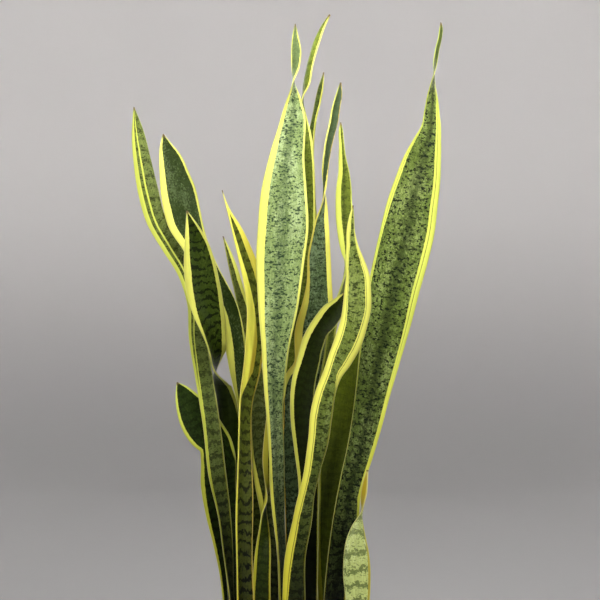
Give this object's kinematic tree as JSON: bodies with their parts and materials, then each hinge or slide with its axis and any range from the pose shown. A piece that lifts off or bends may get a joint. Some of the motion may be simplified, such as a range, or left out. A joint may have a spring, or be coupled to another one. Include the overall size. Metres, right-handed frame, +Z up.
{
  "type": "variegated snake plant in a pot",
  "caption": "Clump of tall, upright, twisting sword-shaped leaves with yellow margins and dark cross bands, standing in soil in a plain round tapered clay pot.",
  "frame": {"origin": "centre of the pot's flat bottom", "axes": "+Z up along the plant's height, -Y towards the viewer of the picture, +X to the picture's right"},
  "size_m": [0.4112, 0.272, 1.1367],
  "materials": {
    "clay": "unglazed, matt",
    "soil": "loose peat and bark potting mix, rough and crumbly",
    "leaf_mid": "living leaf, satin and waxy",
    "leaf_dark": "living leaf, satin and waxy",
    "leaf_sage": "living leaf, satin and waxy",
    "leaf_pale": "living leaf, satin and waxy"
  },
  "bodies": {
    "root": {"pot": "clay", "soil": "soil", "leaf_left_outer": "leaf_mid", "leaf_left_broad": "leaf_mid", "leaf_left_dark": "leaf_dark", "leaf_left_low": "leaf_dark", "leaf_crescent": "leaf_mid", "leaf_slim_dark": "leaf_dark", "leaf_inner_left": "leaf_mid", "leaf_tall_centre": "leaf_sage", "leaf_back_hooked": "leaf_dark", "leaf_back_slim": "leaf_mid", "leaf_back_right": "leaf_mid", "leaf_right_inner": "leaf_mid", "leaf_front_curved": "leaf_mid", "leaf_arched": "leaf_dark", "leaf_shaded": "leaf_mid", "leaf_tall_right": "leaf_mid", "leaf_low_right": "leaf_pale"}
  },
  "joints": []
}
